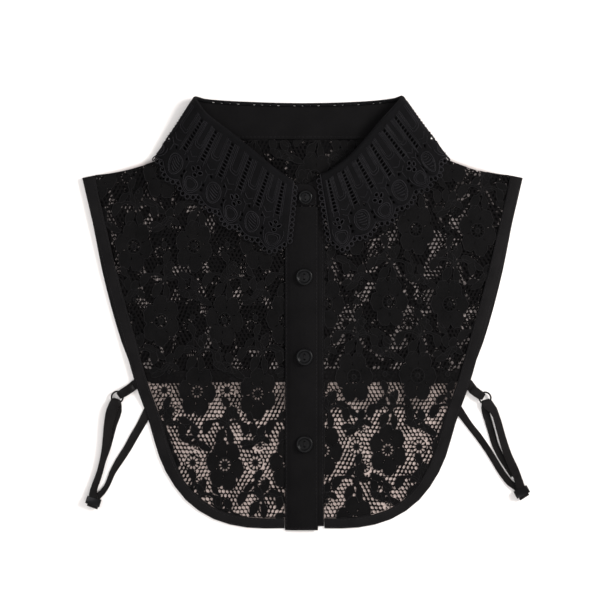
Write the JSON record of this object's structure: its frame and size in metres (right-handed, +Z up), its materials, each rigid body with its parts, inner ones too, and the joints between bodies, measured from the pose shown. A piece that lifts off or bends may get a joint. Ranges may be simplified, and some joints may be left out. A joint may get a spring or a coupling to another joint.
{
  "type": "detachable lace collar",
  "caption": "Detachable black floral-lace shirt collar with a scalloped eyelet collar, button front, short lace back and adjustable elastic side straps, laid flat.",
  "frame": {"origin": "middle of the whole part's box at the level of the surface it lies on", "axes": "+X to the viewer's right across the shoulders, +Y from the hem to the collar, +Z up from the surface, out of the garment's front"},
  "size_m": [0.3354, 0.3254, 0.0142],
  "materials": {
    "lace": "black floral lace on a hexagonal net",
    "guipure": "black corded eyelet embroidery",
    "woven": "matt black plain weave",
    "satin": "black binding and elastic with a soft sheen",
    "button": "polished black",
    "metal": "black lacquered metal"
  },
  "bodies": {
    "root": {"back_panel": "lace", "back_binding": "satin", "front_right": "lace", "front_left": "lace", "binding_right": "satin", "binding_left": "satin", "placket_over": "woven", "placket_under": "woven", "collar_stand": "woven", "collar_leaf": "guipure", "button_1": "button", "button_2": "button", "button_3": "button", "button_4": "button", "tab_right": "satin", "tab_left": "satin", "strap_right": "satin", "strap_left": "satin", "ring_right": "metal", "ring_left": "metal", "slider_right": "metal", "slider_left": "metal"}
  },
  "joints": []
}
